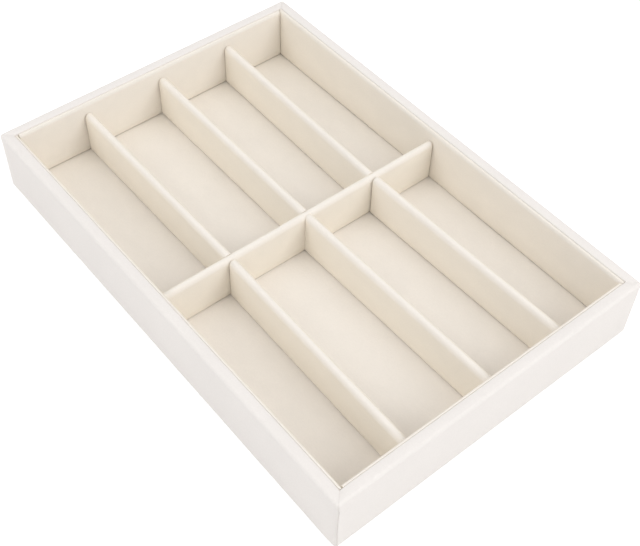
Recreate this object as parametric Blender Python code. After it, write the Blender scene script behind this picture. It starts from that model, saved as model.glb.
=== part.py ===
"""Open display tray for sunglasses, with a leatherette-wrapped box, a velvet lining and lift-out dividers.

The tray lies along X with its front at -Y, and stands on the XY plane with its middle over the origin.
All sizes are in metres.
"""

import math

import bmesh
import bpy
from mathutils import Vector

# Outside of the tray
TRAY_LENGTH = 0.378
TRAY_DEPTH = 0.2574
TRAY_HEIGHT = 0.0518

# Clearances between pieces that touch: boards, glued cloth, and dividers that slide past their neighbours
BOARD_GAP = 0.0003
CLOTH_GAP = 0.0002
DIVIDER_GAP = 0.0003

# Rigid box inside the leatherette
WALL_BOARD_THICKNESS = 0.006
BASE_BOARD_THICKNESS = 0.004

# Leatherette, one strip round the four walls that turns in over the rim and under the base
WRAP_THICKNESS = 0.0007
WRAP_TURN_IN = 0.016
WRAP_TURN_UNDER = 0.014
WRAP_SEAM_GAP = 0.0003
WRAP_EDGE_RADIUS = 0.0024
RIM_INNER_RADIUS = 0.0004

# Sheet that closes the underside
UNDERSIDE_THICKNESS = 0.0004
UNDERSIDE_INSET = 0.003

# Floor pad
FLOOR_BOARD_THICKNESS = 0.001
FLOOR_VELVET_THICKNESS = 0.0007

# Wall liners, thin boards with velvet folded over their top edge and tucked under the bottom one
LINER_BOARD_THICKNESS = 0.0012
LINER_VELVET_THICKNESS = 0.00035
LINER_HEM = 0.012
LINER_DROP_FROM_RIM = 0.0005
# Radii of a liner's rounded edges, as shares of its thickness
LINER_FACE_RADIUS_SHARE = 0.7
LINER_BACK_RADIUS_SHARE = 0.25
LINER_FOOT_RADIUS_SHARE = 0.3

# Dividers, boards in velvet sleeves
DIVIDER_HEIGHT = 0.0352
CENTRE_DIVIDER_THICKNESS = 0.0058
SHORT_DIVIDER_THICKNESS = 0.0066
DIVIDER_VELVET_THICKNESS = 0.0005
DIVIDER_EDGE_RADIUS = 0.0026
DIVIDER_FOOT_RADIUS = 0.0016
DIVIDER_TURN_UNDER = 0.0022

# Where the ends of the centre divider stand, as shares of the length from the left liner to the right one
CENTRE_DIVIDER_FRONT_END_SHARE = 0.4982
CENTRE_DIVIDER_BACK_END_SHARE = 0.5019
# Where the short dividers' ends stand, at the outer wall and at the centre divider, as shares of the depth
# from the front liner to the back one. Laid by hand, they all stand a little askew.
LEFT_FRONT_DIVIDER_WALL_END_SHARE = 0.2339
LEFT_FRONT_DIVIDER_CENTRE_END_SHARE = 0.2316
LEFT_MIDDLE_DIVIDER_WALL_END_SHARE = 0.5107
LEFT_MIDDLE_DIVIDER_CENTRE_END_SHARE = 0.5054
LEFT_BACK_DIVIDER_WALL_END_SHARE = 0.7739
LEFT_BACK_DIVIDER_CENTRE_END_SHARE = 0.759
RIGHT_FRONT_DIVIDER_WALL_END_SHARE = 0.2163
RIGHT_FRONT_DIVIDER_CENTRE_END_SHARE = 0.2305
RIGHT_MIDDLE_DIVIDER_WALL_END_SHARE = 0.5131
RIGHT_MIDDLE_DIVIDER_CENTRE_END_SHARE = 0.5054
RIGHT_BACK_DIVIDER_WALL_END_SHARE = 0.7756
RIGHT_BACK_DIVIDER_CENTRE_END_SHARE = 0.7609

# Most of a board's thickness that the radius of its edge may take
LARGEST_RADIUS_SHARE = 0.45

# Steps in a quarter round
ROUND_STEPS = 4
SHARP_ANGLE = math.radians(35)

# Distances in from the outside of a wall
WALL_BOARD_FACE = WRAP_THICKNESS + BOARD_GAP
BOX_EDGE_RADIUS = WRAP_EDGE_RADIUS - WALL_BOARD_FACE
WALL_BOARD_BACK = WALL_BOARD_FACE + WALL_BOARD_THICKNESS
RIM_WIDTH = WALL_BOARD_BACK + BOARD_GAP + WRAP_THICKNESS
LINER_THICKNESS = LINER_BOARD_THICKNESS + 2 * (LINER_VELVET_THICKNESS + CLOTH_GAP)
LINER_BOARD_INSET = LINER_VELVET_THICKNESS + CLOTH_GAP
LINER_MIDDLE = RIM_WIDTH + BOARD_GAP + LINER_THICKNESS / 2
LINER_FACE = LINER_MIDDLE + LINER_THICKNESS / 2
LINER_FACE_RADIUS = LINER_FACE_RADIUS_SHARE * LINER_THICKNESS
LINER_BACK_RADIUS = LINER_BACK_RADIUS_SHARE * LINER_THICKNESS
LINER_FOOT_RADIUS = LINER_FOOT_RADIUS_SHARE * LINER_THICKNESS

# Heights above the surface that the tray stands on
WRAP_BOTTOM = UNDERSIDE_THICKNESS + CLOTH_GAP
BASE_BOARD_BOTTOM = WRAP_BOTTOM + WRAP_THICKNESS + BOARD_GAP
BASE_BOARD_TOP = BASE_BOARD_BOTTOM + BASE_BOARD_THICKNESS
FLOOR_BOARD_BOTTOM = BASE_BOARD_TOP + BOARD_GAP
FLOOR_VELVET_BOTTOM = FLOOR_BOARD_BOTTOM + FLOOR_BOARD_THICKNESS + CLOTH_GAP
FLOOR_TOP = FLOOR_VELVET_BOTTOM + FLOOR_VELVET_THICKNESS
WALL_BOARD_TOP = TRAY_HEIGHT - WRAP_THICKNESS - BOARD_GAP
LINER_BOTTOM = FLOOR_TOP + BOARD_GAP
LINER_TOP = TRAY_HEIGHT - LINER_DROP_FROM_RIM
DIVIDER_BOTTOM = FLOOR_TOP + DIVIDER_GAP

# Space between the liners
INNER_LENGTH = TRAY_LENGTH - 2 * LINER_FACE
INNER_DEPTH = TRAY_DEPTH - 2 * LINER_FACE


def clear_scene():
    for obj in list(bpy.data.objects):
        bpy.data.objects.remove(obj)


def make_material(name, red, green, blue, roughness):
    material = bpy.data.materials.new(name)
    material.use_nodes = True
    shader = material.node_tree.nodes["Principled BSDF"]
    shader.inputs["Base Color"].default_value = (red, green, blue, 1)
    shader.inputs["Roughness"].default_value = roughness
    shader.inputs["Metallic"].default_value = 0
    material.diffuse_color = (red, green, blue, 1)
    return material


def leatherette():
    return make_material("white_leatherette", 0.87, 0.85, 0.82, 0.45)


def velvet():
    return make_material("cream_velvet", 0.80, 0.74, 0.64, 0.95)


def fibreboard():
    return make_material("fibreboard", 0.46, 0.32, 0.19, 0.85)


def greyboard():
    return make_material("greyboard", 0.35, 0.34, 0.31, 0.9)


def backing_sheet():
    return make_material("backing_sheet", 0.80, 0.78, 0.74, 0.8)


def add_object(name, bm, material, location=(0, 0, 0), turn=0, parent=None):
    """Puts a finished bmesh in the scene, shaded smooth but for its sharp edges."""
    bmesh.ops.recalc_face_normals(bm, faces=bm.faces)
    mesh = bpy.data.meshes.new(name)
    bm.to_mesh(mesh)
    bm.free()
    mesh.shade_smooth()
    mesh.set_sharp_from_angle(angle=SHARP_ANGLE)
    mesh.materials.append(material)
    obj = bpy.data.objects.new(name, mesh)
    obj.location = location
    obj.rotation_euler = (0, 0, turn)
    obj.parent = parent
    bpy.context.scene.collection.objects.link(obj)
    return obj


def standing_block(length, depth, height):
    """A block that stands on its origin, which is the middle of its bottom face."""
    bm = bmesh.new()
    bmesh.ops.create_cube(bm, size=1)
    bmesh.ops.scale(bm, vec=(length, depth, height), verts=bm.verts)
    bmesh.ops.translate(bm, vec=(0, 0, height / 2), verts=bm.verts)
    return bm


def edge_middle(edge):
    return (edge.verts[0].co + edge.verts[1].co) / 2


def round_edges(bm, edges, radius):
    if radius > 0:
        bmesh.ops.bevel(bm, geom=edges, offset=radius, segments=ROUND_STEPS, profile=0.5, affect="EDGES")


def lowest_face(bm):
    return min(bm.faces, key=lambda face: face.calc_center_median().z)


def rounded_block(length, depth, height, radius, foot_radius):
    """A standing block with every edge rounded, those round its foot by a radius of their own."""
    bm = standing_block(length, depth, height)
    round_edges(bm, [edge for edge in bm.edges if edge_middle(edge).z > 0], radius)
    round_edges(bm, list(lowest_face(bm).edges), foot_radius)
    return bm


def make_sheet(obj, thickness):
    """Thickens an open surface inwards into a closed sheet."""
    solidify = obj.modifiers.new("sheet", "SOLIDIFY")
    solidify.thickness = thickness
    solidify.offset = -1
    solidify.use_even_offset = True
    solidify.use_quality_normals = True


def add_base_board(material):
    """The base board, rounded under the leatherette along its bottom edges and its corners."""
    base = standing_block(
        TRAY_LENGTH - 2 * WALL_BOARD_FACE, TRAY_DEPTH - 2 * WALL_BOARD_FACE, BASE_BOARD_THICKNESS
    )
    edges = [edge for edge in base.edges if min(vert.co.z for vert in edge.verts) <= 0]
    round_edges(base, edges, BOX_EDGE_RADIUS)
    add_object("base_board", base, material, (0, 0, BASE_BOARD_BOTTOM))


def add_wall_boards(material):
    """Four boards stand on the edges of the base, the short ones between the long ones, rounded outside."""
    bottom = BASE_BOARD_TOP + BOARD_GAP
    height = WALL_BOARD_TOP - bottom
    long_length = TRAY_LENGTH - 2 * WALL_BOARD_FACE
    short_length = TRAY_DEPTH - 2 * (WALL_BOARD_BACK + BOARD_GAP)
    wall_x = TRAY_LENGTH / 2 - WALL_BOARD_FACE - WALL_BOARD_THICKNESS / 2
    wall_y = TRAY_DEPTH / 2 - WALL_BOARD_FACE - WALL_BOARD_THICKNESS / 2
    quarter = math.pi / 2
    long_walls = (("front", -wall_y, 0), ("back", wall_y, 2 * quarter))
    short_walls = (("left", -wall_x, -quarter), ("right", wall_x, quarter))
    for name, y, turn in long_walls:
        wall = standing_block(long_length, WALL_BOARD_THICKNESS, height)
        edges = [edge for edge in wall.edges if edge_middle(edge).z > 0 and edge_middle(edge).y <= 0]
        round_edges(wall, edges, BOX_EDGE_RADIUS)
        add_object(name + "_wall_board", wall, material, (0, y, bottom), turn)
    for name, x, turn in short_walls:
        wall = standing_block(short_length, WALL_BOARD_THICKNESS, height)
        outer_top_edge = max(wall.edges, key=lambda edge: edge_middle(edge).z - edge_middle(edge).y)
        round_edges(wall, [outer_top_edge], BOX_EDGE_RADIUS)
        add_object(name + "_wall_board", wall, material, (x, 0, bottom), turn)


def quarter_round(inwards, height, radius, start, end):
    """Points round a quarter circle about a centre, or the centre alone where the radius is nothing."""
    if radius <= 0:
        return [(inwards, height)]
    points = []
    for step in range(ROUND_STEPS + 1):
        angle = start + (end - start) * step / ROUND_STEPS
        points.append((inwards + radius * math.cos(angle), height + radius * math.sin(angle)))
    return points


def wrap_profile():
    """The leatherette's section as (distance in, height), round its outer side and back along the inner."""
    quarter = math.pi / 2
    centre = max(WRAP_EDGE_RADIUS, WRAP_THICKNESS)
    inside_radius = centre - WRAP_THICKNESS
    turn_in_end = TRAY_HEIGHT - WRAP_TURN_IN
    rim_round = RIM_WIDTH - RIM_INNER_RADIUS
    outside = [(WRAP_TURN_UNDER, WRAP_BOTTOM)]
    outside += quarter_round(
        WRAP_EDGE_RADIUS, WRAP_BOTTOM + WRAP_EDGE_RADIUS, WRAP_EDGE_RADIUS, 3 * quarter, 2 * quarter
    )
    outside += quarter_round(
        WRAP_EDGE_RADIUS, TRAY_HEIGHT - WRAP_EDGE_RADIUS, WRAP_EDGE_RADIUS, 2 * quarter, quarter
    )
    outside += quarter_round(rim_round, TRAY_HEIGHT - RIM_INNER_RADIUS, RIM_INNER_RADIUS, quarter, 0)
    outside.append((RIM_WIDTH, turn_in_end))
    inside = [(RIM_WIDTH - WRAP_THICKNESS, turn_in_end)]
    inside.append((RIM_WIDTH - WRAP_THICKNESS, TRAY_HEIGHT - WRAP_THICKNESS))
    inside += quarter_round(centre, TRAY_HEIGHT - centre, inside_radius, quarter, 2 * quarter)
    inside += quarter_round(centre, WRAP_BOTTOM + centre, inside_radius, 2 * quarter, 3 * quarter)
    inside.append((WRAP_TURN_UNDER, WRAP_BOTTOM + WRAP_THICKNESS))
    return outside + inside


def wrap_corner(bm, side_x, side_y, first_angle, steps, shift_x):
    """Sections of the leatherette round a corner. Points deeper than its radius meet at the mitre."""
    profile = wrap_profile()
    mitre = {}
    for i, (inwards, height) in enumerate(profile):
        if inwards >= WRAP_EDGE_RADIUS:
            x = side_x * (TRAY_LENGTH / 2 - inwards) + shift_x
            y = side_y * (TRAY_DEPTH / 2 - inwards)
            mitre[i] = bm.verts.new((x, y, height))
    centre_x = side_x * (TRAY_LENGTH / 2 - WRAP_EDGE_RADIUS) + shift_x
    centre_y = side_y * (TRAY_DEPTH / 2 - WRAP_EDGE_RADIUS)
    sections = []
    for step in range(steps + 1):
        angle = first_angle - math.pi / 2 * step / ROUND_STEPS
        section = []
        for i, (inwards, height) in enumerate(profile):
            radius = WRAP_EDGE_RADIUS - inwards
            x = centre_x + radius * math.cos(angle)
            y = centre_y + radius * math.sin(angle)
            section.append(mitre[i] if i in mitre else bm.verts.new((x, y, height)))
        sections.append(section)
    return sections


def add_leatherette_wrap(material):
    """The strip starts and ends at the front right corner, where its ends stay apart at an open seam."""
    bm = bmesh.new()
    eighth = math.pi / 4
    half_steps = ROUND_STEPS // 2
    sections = wrap_corner(bm, 1, -1, -eighth, half_steps, -WRAP_SEAM_GAP)
    sections += wrap_corner(bm, -1, -1, -2 * eighth, ROUND_STEPS, 0)
    sections += wrap_corner(bm, -1, 1, -4 * eighth, ROUND_STEPS, 0)
    sections += wrap_corner(bm, 1, 1, -6 * eighth, ROUND_STEPS, 0)
    sections += wrap_corner(bm, 1, -1, -8 * eighth, half_steps, 0)
    for first, second in zip(sections, sections[1:]):
        for i in range(len(first)):
            corners = list(dict.fromkeys((first[i - 1], first[i], second[i], second[i - 1])))
            if len(corners) > 2:
                bm.faces.new(corners)
    bm.faces.new(sections[0])
    bm.faces.new(reversed(sections[-1]))
    add_object("leatherette_wrap", bm, material)


def add_underside_cover(material):
    length = TRAY_LENGTH - 2 * UNDERSIDE_INSET
    depth = TRAY_DEPTH - 2 * UNDERSIDE_INSET
    add_object("underside_cover", standing_block(length, depth, UNDERSIDE_THICKNESS), material)


def add_floor(board_material, velvet_material):
    """The floor pad fills the box from wall board to wall board, under the liners and the dividers."""
    length = TRAY_LENGTH - 2 * (WALL_BOARD_BACK + BOARD_GAP)
    depth = TRAY_DEPTH - 2 * (WALL_BOARD_BACK + BOARD_GAP)
    board = standing_block(length, depth, FLOOR_BOARD_THICKNESS)
    add_object("floor_board", board, board_material, (0, 0, FLOOR_BOARD_BOTTOM))
    cloth = standing_block(length, depth, FLOOR_VELVET_THICKNESS)
    add_object("floor_velvet", cloth, velvet_material, (0, 0, FLOOR_VELVET_BOTTOM))


def liner_outline(height):
    """The velvet's outer line over a liner: up its hem, over the top, down its face and under its foot."""
    half = LINER_THICKNESS / 2
    back = LINER_BACK_RADIUS
    face = LINER_FACE_RADIUS
    foot = LINER_FOOT_RADIUS
    quarter = math.pi / 2
    points = [(-half, height - LINER_HEM)]
    points += quarter_round(back - half, height - back, back, 2 * quarter, quarter)
    points += quarter_round(half - face, height - face, face, quarter, 0)
    points += quarter_round(half - foot, foot, foot, 0, -quarter)
    points.append((0, 0))
    return points


def liner_cloth(length, height):
    """An open surface along X that shows its face to +Y and is folded over both ends."""
    bm = bmesh.new()
    left = [bm.verts.new((-length / 2, y, z)) for y, z in liner_outline(height)]
    right = [bm.verts.new((length / 2, y, z)) for y, z in liner_outline(height)]
    for i in range(1, len(left)):
        bm.faces.new((left[i - 1], right[i - 1], right[i], left[i]))
    bm.faces.new(left)
    bm.faces.new(reversed(right))
    return bm


def add_liners(board_material, velvet_material):
    """Long liners run the length of the box, and the short ones stand between them."""
    height = LINER_TOP - LINER_BOTTOM
    board_bottom = LINER_THICKNESS / 2
    board_height = height - LINER_FACE_RADIUS - board_bottom
    long_length = TRAY_LENGTH - 2 * (RIM_WIDTH + BOARD_GAP)
    short_length = INNER_DEPTH - 2 * BOARD_GAP
    liner_x = TRAY_LENGTH / 2 - LINER_MIDDLE
    liner_y = TRAY_DEPTH / 2 - LINER_MIDDLE
    quarter = math.pi / 2
    places = {
        "front": (long_length, (0, -liner_y, LINER_BOTTOM), 0),
        "right": (short_length, (liner_x, 0, LINER_BOTTOM), quarter),
        "back": (long_length, (0, liner_y, LINER_BOTTOM), 2 * quarter),
        "left": (short_length, (-liner_x, 0, LINER_BOTTOM), -quarter),
    }
    for name, (length, location, turn) in places.items():
        board = standing_block(length - 2 * LINER_BOARD_INSET, LINER_BOARD_THICKNESS, board_height)
        bmesh.ops.translate(board, vec=(0, 0, board_bottom), verts=board.verts)
        add_object(name + "_liner_board", board, board_material, location, turn)
        cloth = add_object(
            name + "_liner_velvet", liner_cloth(length, height), velvet_material, location, turn
        )
        make_sheet(cloth, LINER_VELVET_THICKNESS)


def add_divider(name, start, end, thickness, board_material, velvet_material):
    """A board in a velvet sleeve, from start to end. Both hang on an empty, and lift straight up from it."""
    span = end - start
    length = span.length - 2 * DIVIDER_GAP
    middle = (start + end) / 2
    lift = bpy.data.objects.new(name + "_lift", None)
    lift.location = (middle.x, middle.y, DIVIDER_BOTTOM)
    lift.rotation_euler = (0, 0, math.atan2(span.y, span.x))
    bpy.context.scene.collection.objects.link(lift)

    inset = DIVIDER_VELVET_THICKNESS + CLOTH_GAP
    radius = min(DIVIDER_EDGE_RADIUS, LARGEST_RADIUS_SHARE * thickness)
    foot_radius = min(DIVIDER_FOOT_RADIUS, radius)
    board = rounded_block(
        length - 2 * inset,
        thickness - 2 * inset,
        DIVIDER_HEIGHT - 2 * inset,
        radius - inset,
        foot_radius - inset,
    )
    bmesh.ops.translate(board, vec=(0, 0, inset), verts=board.verts)
    add_object(name + "_board", board, board_material, parent=lift)

    sleeve = rounded_block(length, thickness, DIVIDER_HEIGHT, radius, foot_radius)
    foot = lowest_face(sleeve)
    bmesh.ops.inset_region(sleeve, faces=[foot], thickness=DIVIDER_TURN_UNDER - foot_radius)
    bmesh.ops.delete(sleeve, geom=[foot], context="FACES_ONLY")
    make_sheet(add_object(name + "_velvet", sleeve, velvet_material, parent=lift), DIVIDER_VELVET_THICKNESS)


def add_dividers(board_material, velvet_material):
    """The centre divider runs front to back, and three short ones meet it on either side."""
    left = -INNER_LENGTH / 2
    front = -INNER_DEPTH / 2
    front_end = Vector((left + CENTRE_DIVIDER_FRONT_END_SHARE * INNER_LENGTH, front))
    back_end = Vector((left + CENTRE_DIVIDER_BACK_END_SHARE * INNER_LENGTH, -front))
    add_divider(
        "centre_divider", front_end, back_end, CENTRE_DIVIDER_THICKNESS, board_material, velvet_material
    )
    short_dividers = (
        ("left_front", -1, LEFT_FRONT_DIVIDER_WALL_END_SHARE, LEFT_FRONT_DIVIDER_CENTRE_END_SHARE),
        ("left_middle", -1, LEFT_MIDDLE_DIVIDER_WALL_END_SHARE, LEFT_MIDDLE_DIVIDER_CENTRE_END_SHARE),
        ("left_back", -1, LEFT_BACK_DIVIDER_WALL_END_SHARE, LEFT_BACK_DIVIDER_CENTRE_END_SHARE),
        ("right_front", 1, RIGHT_FRONT_DIVIDER_WALL_END_SHARE, RIGHT_FRONT_DIVIDER_CENTRE_END_SHARE),
        ("right_middle", 1, RIGHT_MIDDLE_DIVIDER_WALL_END_SHARE, RIGHT_MIDDLE_DIVIDER_CENTRE_END_SHARE),
        ("right_back", 1, RIGHT_BACK_DIVIDER_WALL_END_SHARE, RIGHT_BACK_DIVIDER_CENTRE_END_SHARE),
    )
    for place, side, wall_end_share, centre_end_share in short_dividers:
        wall_end = Vector((side * INNER_LENGTH / 2, front + wall_end_share * INNER_DEPTH))
        centre_end = front_end.lerp(back_end, centre_end_share)
        centre_end.x += side * CENTRE_DIVIDER_THICKNESS / 2
        name = place + "_divider"
        add_divider(name, wall_end, centre_end, SHORT_DIVIDER_THICKNESS, board_material, velvet_material)


def main():
    clear_scene()
    board = fibreboard()
    card = greyboard()
    cloth = velvet()
    add_base_board(board)
    add_wall_boards(board)
    add_leatherette_wrap(leatherette())
    add_underside_cover(backing_sheet())
    add_floor(card, cloth)
    add_liners(card, cloth)
    add_dividers(card, cloth)


main()
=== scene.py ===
"""Dresses the frame of an open display tray for sunglasses.

The tray is a shallow box in white leatherette, lined with cream velvet and split by velvet dividers that
lift out. Each operator makes one piece, or one group of like pieces, in place of its CAD nodes. Sizes are
in metres.
"""

import math

import bmesh
import bpy
from mathutils import Matrix, Vector


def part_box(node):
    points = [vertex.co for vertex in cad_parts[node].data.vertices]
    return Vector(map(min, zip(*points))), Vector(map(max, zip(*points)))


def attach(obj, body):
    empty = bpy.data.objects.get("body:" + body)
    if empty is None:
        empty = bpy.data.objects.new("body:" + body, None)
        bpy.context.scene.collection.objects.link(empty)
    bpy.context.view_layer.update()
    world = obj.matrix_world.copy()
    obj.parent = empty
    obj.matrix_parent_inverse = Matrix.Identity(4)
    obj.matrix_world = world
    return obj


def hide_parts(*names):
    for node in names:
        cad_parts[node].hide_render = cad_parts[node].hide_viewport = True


bl_info = {
    "name": "Sunglasses Display Tray",
    "version": (1, 0, 0),
    "blender": (4, 5, 0),
    "location": "3D Viewport > Sidebar > Display Tray",
    "description": "Dresses an open display tray in leatherette and velvet, and lights it",
    "category": "Add Mesh",
}

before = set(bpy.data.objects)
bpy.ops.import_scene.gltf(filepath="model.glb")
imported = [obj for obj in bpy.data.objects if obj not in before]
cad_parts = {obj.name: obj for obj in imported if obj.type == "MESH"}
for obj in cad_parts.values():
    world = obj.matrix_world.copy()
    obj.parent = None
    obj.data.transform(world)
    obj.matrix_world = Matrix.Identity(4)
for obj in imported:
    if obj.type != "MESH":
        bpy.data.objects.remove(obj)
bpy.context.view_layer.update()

WRAP_LOW, WRAP_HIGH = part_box("leatherette_wrap")
LINER_LOW, LINER_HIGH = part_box("front_liner_velvet")
LINER_THICKNESS = LINER_HIGH.y - LINER_LOW.y
FLOOR_LOW, FLOOR_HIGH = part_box("floor_velvet")
LINERS = ("front", "right", "back", "left")
ROWS = ("front", "middle", "back")
# The CAD leaves this much between pieces that touch on the real tray.
FRAME_GAP = 0.0003
# Corners are named by the ends of X and Y that they stand at. The near one is at the front right.
CORNERS = ((-1, -1), (1, -1), (1, 1), (-1, 1))
NEAR_CORNER = (1, -1)
# Two short dividers aren't pressed against the centre one: the first is rounded there, the second stands off.
ROUND_ENDED = "right_front_divider"
STANDING_OFF = "right_back_divider"
# Points closer to each other than this count as one.
SAME_PLACE = 0.00001
# An edge or a normal runs along an axis if more than this share of it does.
ALONG = 0.999
# The flat faces over and under the box, and those under a divider, are larger than these.
BOX_FACE_AREA = 0.01
FOOT_AREA = 0.0001
# Only edges longer than this along X, Y or Z, numbered 0, 1 and 2, are cut into cells.
COVER_EDGES = {0: 0.3, 1: 0.2, 2: 0.03}
FLOOR_EDGES = {0: 0.3, 1: 0.2}
LINER_EDGES = {0: 0.2, 2: 0.03}
DIVIDER_EDGES = {0: 0.1, 2: 0.02}
# How many steps round a wide edge, a divider's foot or end, a fine edge, and the finest edge or a groove.
WIDE_STEPS = 8
END_STEPS = 4
FINE_STEPS = 3
FINEST_STEPS = 2
FLOOR_EDGE_RADIUS = 0.0002
# How wide the slow waves are in the leatherette, in the floor, and in the velvet of liners and dividers.
COVER_WAVE_SIZE = 0.035
FLOOR_WAVE_SIZE = 0.03
STRIP_WAVE_SIZE = 0.025
# Faces that meet at less than this are shaded as one.
SMOOTH_ANGLE = math.radians(50)
# What the velvet is multiplied by for painted shade: on its upward-facing tops over a bend, and in the
# creases at a divider's foot.
PAINTED_TOP_SHADE = (0.975, 0.97, 0.965, 1)
PAINTED_CREASE_SHADE = (0.76, 0.74, 0.72, 1)
STAGE_SIZE = 6
STAGE_DROP = 0.0002
SENSOR_WIDTH = 36
LAMP_SIZE = 2.0
LAMP_DISTANCE = 3.0
# The lamps' azimuths, from the tray's front to its right side, and their elevations, in degrees.
RIGHT_LAMP_PLACE = (116, 40)
FRONT_LAMP_PLACE = (-16, 40)
TOP_LAMP_PLACE = (0, 90)


# Colours


def linear(channel):
    return channel / 12.92 if channel <= 0.04045 else ((channel + 0.055) / 1.055) ** 2.4


def from_hex(text):
    """An sRGB hex colour as linear red, green and blue."""
    return tuple(linear(int(text[i : i + 2], 16) / 255) for i in (1, 3, 5))


def shade(colour, factor):
    """A linear colour made darker or lighter, with an alpha."""
    return tuple(min(1, channel * factor) for channel in colour) + (1,)


# Settings that a user would change


def length(name, description, default):
    return bpy.props.FloatProperty(
        name=name, description=description, default=default, min=0, unit="LENGTH", precision=5
    )


def colour(name, description, default):
    return bpy.props.FloatVectorProperty(
        name=name, description=description, default=from_hex(default), subtype="COLOR", min=0, max=1
    )


def number(name, description, default):
    return bpy.props.FloatProperty(name=name, description=description, default=default, min=0)


def angle(name, description, default):
    return bpy.props.FloatProperty(
        name=name, description=description, default=math.radians(default), subtype="ANGLE"
    )


def power(name, description, default):
    return bpy.props.FloatProperty(name=name, description=description, default=default, min=0, unit="POWER")


class TraySizes(bpy.types.PropertyGroup):
    """Sizes of the cover, the liners and the dividers that the CAD frame leaves open"""

    rim_width: length(
        "Rim Width",
        "From the outside of the box to the inner edge of its rim",
        LINER_LOW.y - WRAP_LOW.y - FRAME_GAP,
    )
    cover_thickness: length("Cover Thickness", "Thickness of the leatherette", 0.0007)
    cover_radius: length("Cover Radius", "Radius of the outer edges of the box", 0.0024)
    rim_radius: length("Rim Inner Radius", "Radius of the inner edge of the rim", 0.00045)
    cover_turn_in: length("Turn-in", "How far the leatherette goes down inside the rim", 0.016)
    cover_turn_under: length("Turn-under", "How far the leatherette goes in under the box", 0.014)
    mitre_width: length("Mitre Width", "Width of the crease in the leatherette at a rim corner", 0.0006)
    mitre_depth: length("Mitre Depth", "Depth of that crease at its inner end", 0.00045)
    mitre_gap: length("Mitre Gap", "How far a rim corner is pulled open at its inner end", 0.0002)
    seam_width: length("Seam Width", "Width of the open seam down the near corner", 0.0008)
    seam_depth: length("Seam Depth", "Depth of that seam", 0.0003)
    seam_lip: length("Seam Lip", "How far the lapped end stands proud beside the seam", 0.0003)
    seam_reach: length("Seam Reach", "Width of the folded end beside the seam", 0.0019)
    seam_wander: length("Seam Wander", "How far the seam strays from the corner line", 0.0013)
    cover_wave: length("Cover Waves", "Height of the slow waves in the glued leatherette", 0.00022)
    velvet_wave: length("Velvet Waves", "Height of the slow waves in the glued velvet", 0.00024)
    liner_velvet: length("Liner Velvet", "Thickness of the velvet on the wall liners", 0.00035)
    liner_hem: length("Liner Hem", "How far the velvet comes down behind a liner", 0.012)
    liner_face_radius: length(
        "Liner Face Radius", "Radius of a liner's inner top edge", 0.7 * LINER_THICKNESS
    )
    liner_back_radius: length("Liner Back Radius", "Radius of its outer top edge", 0.00028)
    liner_crown: number("Liner Crown", "How much higher than wide its rounded top edges are", 2.0)
    liner_press: length("Liner Press", "How far its back reaches into its clearance", 0.00015)
    liner_foot_radius: length("Liner Foot Radius", "Radius of its bottom edge", 0.2 * LINER_THICKNESS)
    liner_end_radius: length("Liner End Radius", "Radius of the edges of its ends", 0.00035)
    divider_velvet: length("Divider Velvet", "Thickness of the velvet on the dividers", 0.0005)
    divider_radius: length("Divider Radius", "Largest radius of a divider's top edges", 0.0029)
    divider_crown: number("Divider Crown", "How much higher than wide its rounded top edges are", 1.5)
    centre_foot_radius: length("Centre Foot Radius", "Radius of the centre divider's bottom edges", 0.0014)
    foot_radius: length("Foot Radius", "Radius of a short divider's bottom edges", 0.002)
    end_radius: length("Divider End Radius", "Radius of the edges of a divider's end", 0.0015)
    butt_radius: length("Butt Radius", "Radius of an end that is pressed against the centre divider", 0.0004)
    butt_gap: length("Butt Gap", "What is left between that end and the centre divider's pile", 0.00006)
    butt_reach: length("Butt Reach", "How far that end's pile may reach to fill the joint", 0.0012)
    divider_turn_under: length("Divider Turn-under", "How far the velvet goes in under a divider", 0.0022)
    open_end: length("Open End", "How much further the right back divider stands off the centre one", 0.0004)
    cell: length("Cell", "Length of the mesh cells that carry the slow waves", 0.006)


class TrayColours(bpy.types.PropertyGroup):
    """Colours of the tray's materials"""

    leatherette: colour("Leatherette", "White leatherette of the box", "#EDE8E4")
    velvet: colour("Velvet", "Cream velvet of the lining and the dividers", "#F4EEE6")
    # Painted bounce light: the warm tint that velvet turned from the eye is multiplied by.
    velvet_bounce_tint: colour("Velvet from the Side", "Multiplies the velvet where it turns away", "#FFFEF9")
    fibreboard: colour("Fibreboard", "Brown board of the walls and the base", "#B08F68")
    greyboard: colour("Greyboard", "Recycled board inside the lining", "#A29D93")
    backing: colour("Backing", "Sheet under the tray", "#EAE6DE")


class TrayStage(bpy.types.PropertyGroup):
    """Camera, light and background"""

    camera_place: bpy.props.FloatVectorProperty(
        name="Camera Place",
        description="Where the camera stands",
        default=(0.39905, -0.32887, 0.60249),
        subtype="TRANSLATION",
        unit="LENGTH",
    )
    azimuth: angle("Azimuth", "Turn of the camera round the tray, from its front to its right side", 49.19)
    elevation: angle("Elevation", "Angle of the camera's line of sight above the horizon", 50.3)
    roll: angle("Roll", "Turn of the camera about its line of sight", 1.98)
    lens: bpy.props.FloatProperty(
        name="Lens", description="Focal length on a 36 mm sensor", default=62.3, min=1, unit="CAMERA"
    )
    room_light: number("Room Light", "Strength of the even light from all sides", 0.61)
    right_lamp: power("Right Lamp", "Power of the soft lamp at the tray's right and a little behind it", 34.0)
    front_lamp: power("Front Lamp", "Power of the soft lamp in front of the tray", 23.8)
    top_lamp: power("Top Lamp", "Power of the soft lamp over the tray", 9.4)


# Shading nodes


def add_node(tree, kind, inputs=None, **settings):
    """Adds a node with its settings. An input is a value, or the output of another node to link to it."""
    node = tree.nodes.new(kind)
    for name, value in settings.items():
        setattr(node, name, value)
    for name, value in (inputs or {}).items():
        if isinstance(value, bpy.types.NodeSocket):
            tree.links.new(value, node.inputs[name])
        else:
            node.inputs[name].default_value = value
    return node


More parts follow.
